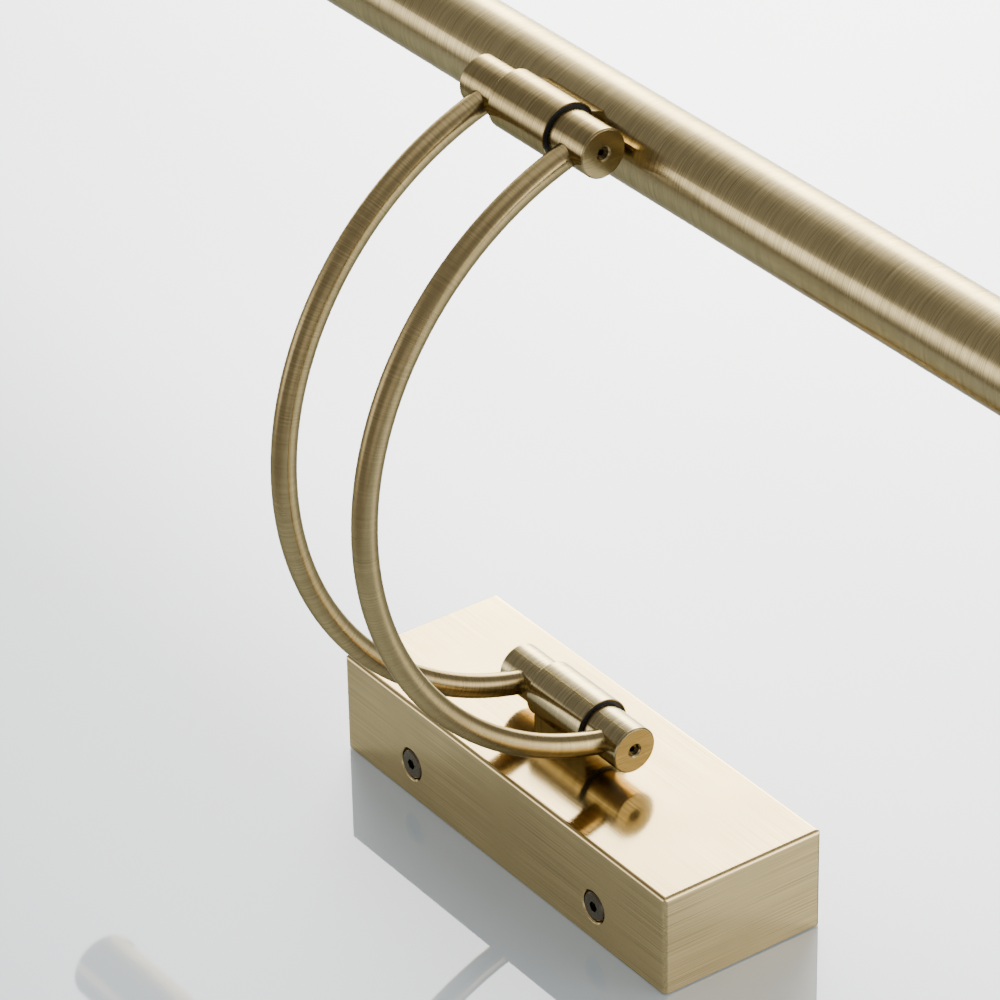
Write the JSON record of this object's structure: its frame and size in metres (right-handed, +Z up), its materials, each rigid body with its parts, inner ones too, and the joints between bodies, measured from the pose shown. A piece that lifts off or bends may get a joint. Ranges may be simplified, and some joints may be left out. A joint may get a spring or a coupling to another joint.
{
  "type": "picture light",
  "caption": "Wall picture light: box canopy, two arched arms on friction hinges at canopy and head, and a long slim tubular lamp with a linear light slot.",
  "frame": {"origin": "centre of the canopy's back, on the wall plane", "axes": "+X along the lamp and both hinge axes, +Y into the wall, +Z up the wall; the light stands out towards -Y"},
  "size_m": [0.5, 0.2043, 0.0953],
  "materials": {
    "brushed_brass": "brushed antique brass, satin lacquer",
    "plain_brass": "turned",
    "plated_steel": "zinc plated",
    "spring_steel": "bright",
    "black_oxide_steel": "black oxide",
    "black_nylon": "moulded",
    "black_rubber": "moulded",
    "foam_pad": "adhesive foam",
    "white_nylon": "moulded",
    "driver_case": "moulded",
    "red_silicone": "smooth",
    "brown_pvc": "smooth",
    "bare_aluminium": "extruded",
    "white_board": "white solder mask",
    "led_phosphor": "moulded phosphor",
    "opal_lens": "opal, satin"
  },
  "bodies": {
    "canopy": {"wall_bracket": "plated_steel", "clinch_nuts": "plated_steel", "cable_grommet": "black_rubber", "earth_stud": "plain_brass", "earth_washer": "plated_steel", "earth_nut": "plain_brass", "terminal_block": "white_nylon", "terminal_screws": "plated_steel", "supply_wires": "brown_pvc", "led_driver": "driver_case", "driver_pad": "foam_pad", "canopy_cover": "brushed_brass", "canopy_screws": "black_oxide_steel", "foot_screws": "plated_steel", "base_hinge_block": "brushed_brass", "base_hinge_bushes": "black_nylon", "canopy_wires": "red_silicone"},
    "arms": {"base_spindle": "plated_steel", "base_spring_washers": "spring_steel", "base_knuckle_left": "brushed_brass", "base_knuckle_right": "brushed_brass", "base_grub_screws": "black_oxide_steel", "arm_left": "brushed_brass", "arm_right": "brushed_brass", "arm_wires": "red_silicone", "head_knuckle_left": "brushed_brass", "head_knuckle_right": "brushed_brass", "head_grub_screws": "black_oxide_steel", "head_spindle": "plated_steel", "head_spring_washers": "spring_steel"},
    "lamp": {"head_hinge_block": "brushed_brass", "head_hinge_bushes": "black_nylon", "saddle_screws": "plated_steel", "lamp_tube": "brushed_brass", "end_cap_left": "brushed_brass", "end_cap_right": "brushed_brass", "heat_sink": "bare_aluminium", "led_board": "white_board", "led_chips": "led_phosphor", "diffuser": "opal_lens", "lamp_wires": "red_silicone"}
  },
  "joints": [
    {"name": "base_hinge", "type": "hinge", "parent": "canopy", "child": "arms", "pos_m": [0, -0.0363, 0], "axis": [1, 0, 0], "range_deg": [-28, 90]},
    {"name": "head_hinge", "type": "hinge", "parent": "arms", "child": "lamp", "pos_m": [0, -0.19707, 0.00772], "axis": [1, 0, 0], "range_deg": [-160, 88]}
  ]
}
